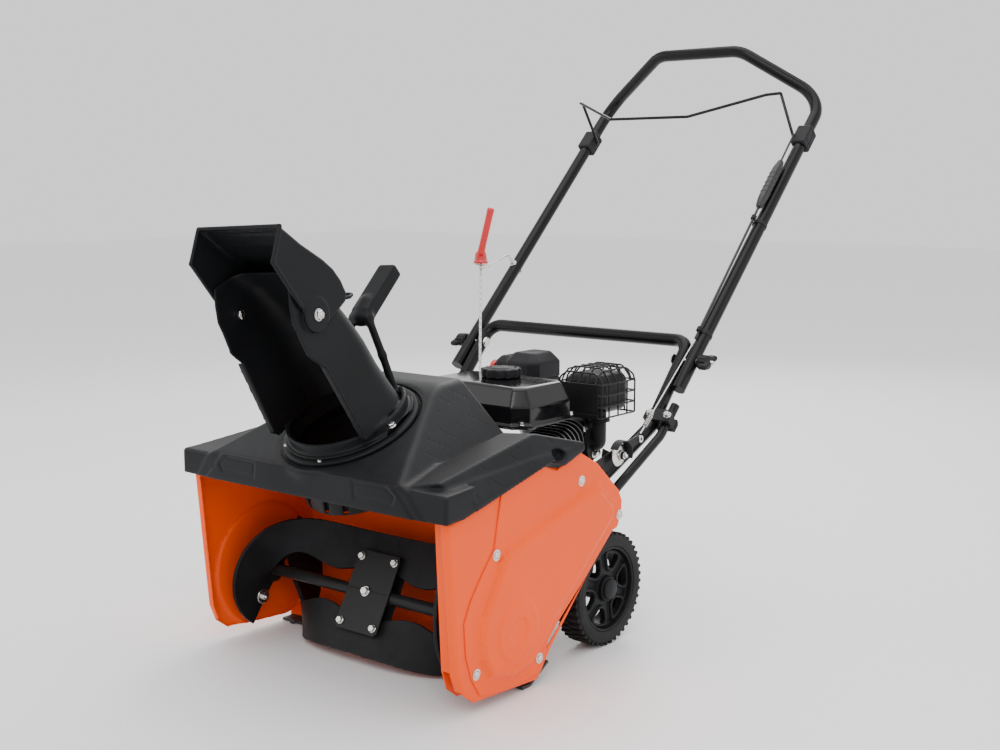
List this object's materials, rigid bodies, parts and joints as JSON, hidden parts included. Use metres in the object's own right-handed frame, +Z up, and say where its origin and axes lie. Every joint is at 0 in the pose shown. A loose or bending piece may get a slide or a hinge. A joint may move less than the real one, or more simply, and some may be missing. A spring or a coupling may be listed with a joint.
{
  "type": "snow blower",
  "caption": "Walk-behind single-stage snow blower with a rubber-paddle rotor, turning chute, small petrol engine, two wheels and a folding tube handle with a safety bail.",
  "frame": {"origin": "middle of the whole object in plan, on the ground", "axes": "+X to the operator's right, +Y from the rotor towards the operator, +Z up"},
  "size_m": [0.608, 1.3205, 1.034],
  "materials": {
    "orange_paint": "semi-gloss powder coat",
    "cover_plastic": "fine satin grain",
    "black_tube": "gloss enamel",
    "black_steel": "satin enamel",
    "engine_plastic": "moulded, glossy",
    "engine_matte": "moulded, matt",
    "cast_alloy": "as cast",
    "zinc": "bright zinc plate",
    "dark_steel": "plain turned steel",
    "chute_plastic": "satin grain",
    "paddle_rubber": "moulded rubber, scuffed",
    "wheel_rubber": "ribbed tread",
    "belt_rubber": "fabric-backed rubber",
    "red_plastic": "moulded, glossy",
    "rope": "braided cord",
    "cable_sheath": "smooth vinyl",
    "wear_steel": "worn black"
  },
  "bodies": {
    "chassis": {"left_side_plate": "orange_paint", "right_side_plate": "orange_paint", "inner_wall": "orange_paint", "housing_shell": "orange_paint", "top_cover": "cover_plastic", "belt_cover": "orange_paint", "scraper_bar": "wear_steel", "engine_deck": "black_steel", "wheel_axle": "zinc", "lower_handle": "black_tube", "handle_stays": "black_tube", "tube_clips": "engine_matte", "handle_bolts": "zinc", "crankcase": "cast_alloy", "fan_housing": "engine_plastic", "recoil_housing": "engine_plastic", "cylinder_block": "cast_alloy", "head_cover": "black_steel", "fuel_tank": "engine_plastic", "air_filter_box": "engine_matte", "carburettor": "cast_alloy", "muffler": "black_steel", "muffler_guard": "black_steel", "exhaust_pipe": "black_steel", "rotor_bearings": "dark_steel", "drive_belt": "belt_rubber", "starter_rope": "rope", "clutch_cable_lower": "cable_sheath", "cover_screws": "zinc", "chute_ring": "chute_plastic"},
    "rotor": {"rotor_shaft": "black_steel", "paddle_a": "paddle_rubber", "paddle_b": "paddle_rubber", "centre_plates": "black_steel", "end_brackets": "black_steel", "rotor_bolts": "zinc", "rotor_pulley": "dark_steel"},
    "crank": {"crankshaft": "dark_steel", "flywheel": "cast_alloy", "engine_pulley": "dark_steel"},
    "clutch": {"clutch_lever": "zinc"},
    "idler": {"idler_pulley": "dark_steel"},
    "wheel_l": {"wheel_left": "wheel_rubber"},
    "wheel_r": {"wheel_right": "wheel_rubber"},
    "chute": {"chute": "chute_plastic", "chute_handle": "chute_plastic", "deflector_bolts": "zinc"},
    "deflector": {"deflector": "chute_plastic"},
    "upper_handle": {"upper_handle": "black_tube", "bail_brackets": "engine_matte", "rope_guide": "zinc", "clutch_cable_upper": "cable_sheath"},
    "bail": {"bail": "black_tube"},
    "knob_l": {"knob_left": "engine_matte"},
    "knob_r": {"knob_right": "engine_matte"},
    "grip": {"starter_grip": "red_plastic", "pull_rope": "rope"},
    "recoil": {"recoil_pulley": "engine_matte"},
    "cap": {"fuel_cap": "engine_matte"},
    "choke": {"choke_knob": "red_plastic"}
  },
  "joints": [
    {"name": "rotor_spin", "type": "hinge", "parent": "chassis", "child": "rotor", "pos_m": [0, -0.3569, 0.104], "axis": [1, 0, 0], "continuous": true},
    {"name": "crank_spin", "type": "hinge", "parent": "chassis", "child": "crank", "pos_m": [0, -0.1419, 0.25], "axis": [1, 0, 0], "continuous": true},
    {"name": "clutch_swing", "type": "hinge", "parent": "chassis", "child": "clutch", "pos_m": [0.255, -0.0519, 0.318], "axis": [1, 0, 0], "range_deg": [0, 5], "deforming": ["drive_belt"]},
    {"name": "idler_spin", "type": "hinge", "parent": "clutch", "child": "idler", "pos_m": [0.254, -0.2194, 0.2758], "axis": [1, 0, 0], "continuous": true},
    {"name": "wheel_left_spin", "type": "hinge", "parent": "chassis", "child": "wheel_l", "pos_m": [-0.229, -0.0709, 0.095], "axis": [1, 0, 0], "continuous": true},
    {"name": "wheel_right_spin", "type": "hinge", "parent": "chassis", "child": "wheel_r", "pos_m": [0.229, -0.0709, 0.095], "axis": [1, 0, 0], "continuous": true},
    {"name": "chute_swivel", "type": "hinge", "parent": "chassis", "child": "chute", "pos_m": [0, -0.4143, 0.3926], "axis": [0, -0.4321, 0.9018], "range_deg": [-96, 84]},
    {"name": "deflector_tilt", "type": "hinge", "parent": "chute", "child": "deflector", "pos_m": [0.00691, -0.56881, 0.5725], "axis": [0.9938, 0.1005, 0.0482], "range_deg": [0, 45]},
    {"name": "handle_fold", "type": "hinge", "parent": "chassis", "child": "upper_handle", "pos_m": [0, 0.1781, 0.449], "axis": [1, 0, 0], "range_deg": [-80, 0], "deforming": ["clutch_cable_lower"]},
    {"name": "bail_squeeze", "type": "hinge", "parent": "upper_handle", "child": "bail", "pos_m": [0, 0.5801, 0.84404], "axis": [1, 0, 0], "range_deg": [-64, 0], "stiffness_Nm_per_rad": 0.8, "springref_deg": 34.38},
    {"name": "knob_left_turn", "type": "hinge", "parent": "chassis", "child": "knob_l", "pos_m": [-0.27, 0.1781, 0.449], "axis": [1, 0, 0], "continuous": true},
    {"name": "knob_right_turn", "type": "hinge", "parent": "chassis", "child": "knob_r", "pos_m": [0.27, 0.1781, 0.449], "axis": [1, 0, 0], "continuous": true},
    {"name": "grip_pull", "type": "slide", "parent": "chassis", "child": "grip", "axis": [0, 0, 1], "range_m": [0, 0.7], "stiffness_N_per_m": 15, "springref_m": -0.1, "deforming": ["pull_rope"]},
    {"name": "recoil_spin", "type": "hinge", "parent": "chassis", "child": "recoil", "pos_m": [-0.066, -0.1419, 0.25], "axis": [1, 0, 0], "range_deg": [0, 711]},
    {"name": "fuel_cap_twist", "type": "hinge", "parent": "chassis", "child": "cap", "pos_m": [0.002, -0.0459, 0.43], "axis": [0, 0, 1], "range_deg": [0, 90]},
    {"name": "choke_turn", "type": "hinge", "parent": "chassis", "child": "choke", "pos_m": [-0.127, 0.1001, 0.412], "axis": [1, 0, 0], "range_deg": [0, 90]}
  ],
  "couplings": [
    {"joint": "crank_spin", "follows": "rotor_spin", "ratio": 2.63},
    {"joint": "idler_spin", "follows": "rotor_spin", "ratio": -3.39},
    {"joint": "clutch_swing", "follows": "bail_squeeze", "ratio": -0.07812},
    {"joint": "recoil_spin", "follows": "grip_pull", "rad_per_m": 17.7}
  ]
}
